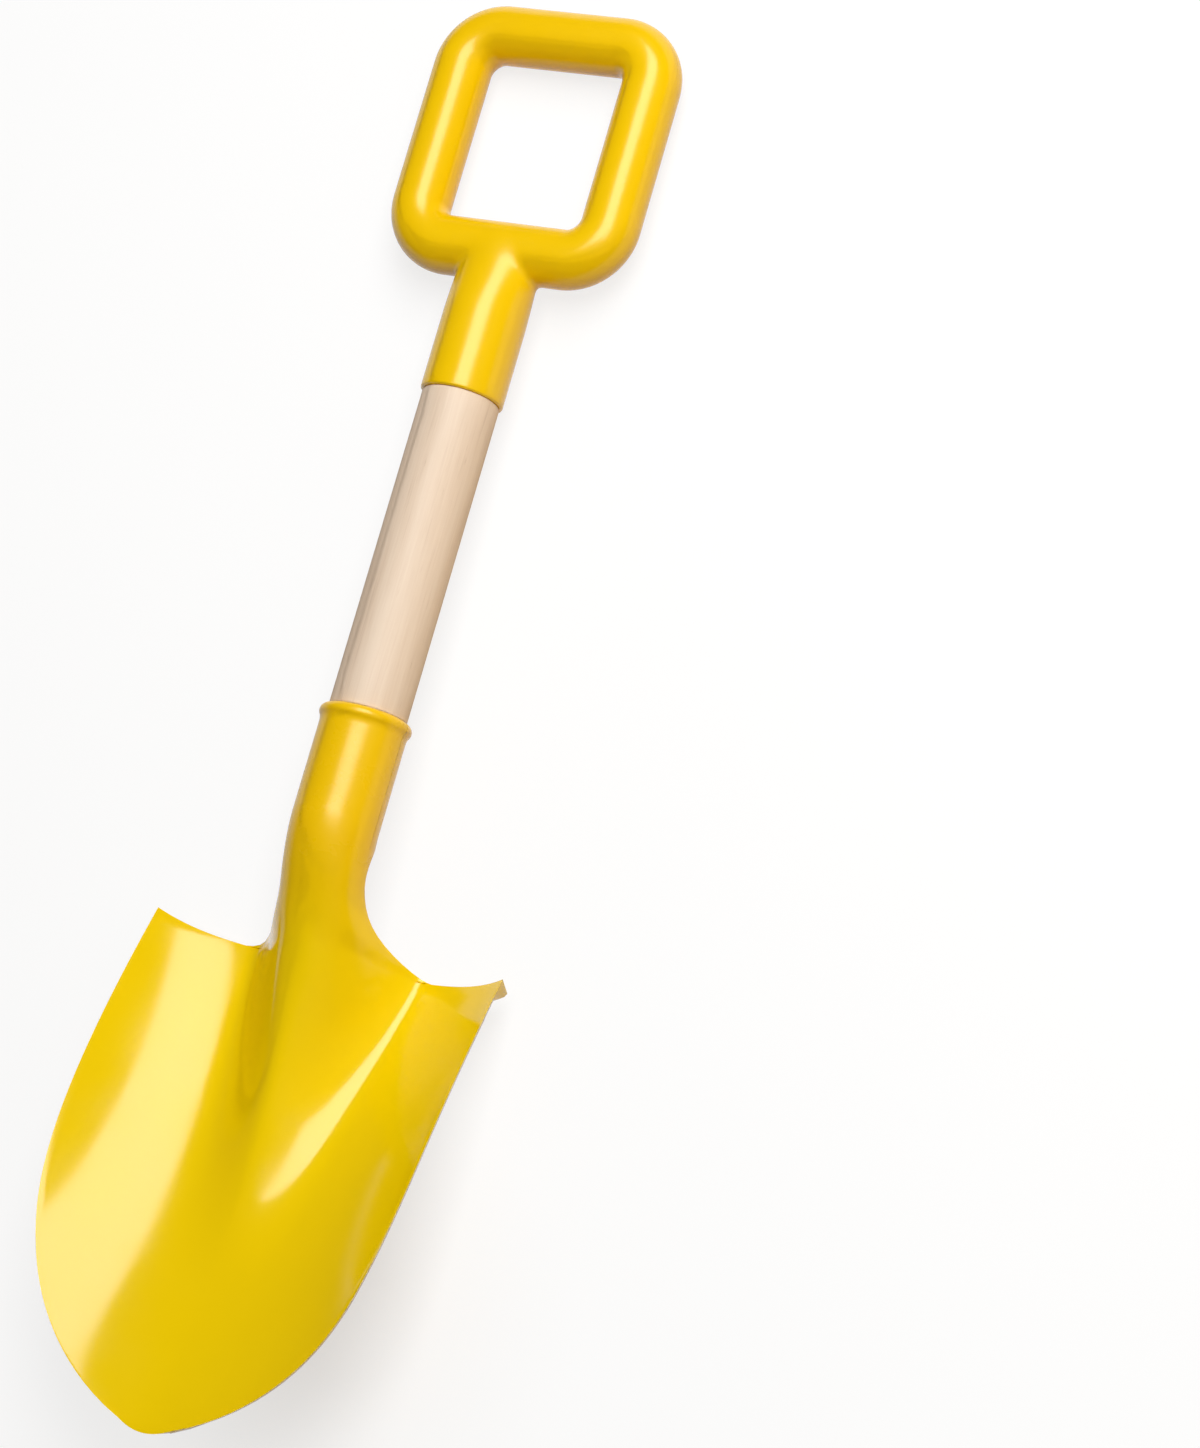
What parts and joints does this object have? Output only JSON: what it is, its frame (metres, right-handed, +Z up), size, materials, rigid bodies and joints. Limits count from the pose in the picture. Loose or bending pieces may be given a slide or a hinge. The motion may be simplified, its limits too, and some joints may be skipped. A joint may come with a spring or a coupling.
{
  "type": "sand shovel",
  "caption": "Child's sand shovel: scoop blade with a raised central ridge and a socket, wooden shaft, and a rectangular loop grip of round bar.",
  "frame": {"origin": "centre of the shovel's footprint, on the ground, with the shovel lying on its back", "axes": "+Y along the shovel from the blade's tip to the grip, +Z up out of the scoop, +X across; the mirror plane is X = 0"},
  "size_m": [0.1076, 0.4102, 0.0438],
  "materials": {
    "blade_plastic": "gloss yellow moulded plastic",
    "shaft_wood": "pale sanded hardwood, untreated",
    "grip_plastic": "gloss yellow moulded plastic",
    "screw_steel": "zinc-plated steel"
  },
  "bodies": {
    "root": {"blade": "blade_plastic", "shaft": "shaft_wood", "grip": "grip_plastic", "retaining_screws": "screw_steel"}
  },
  "joints": []
}
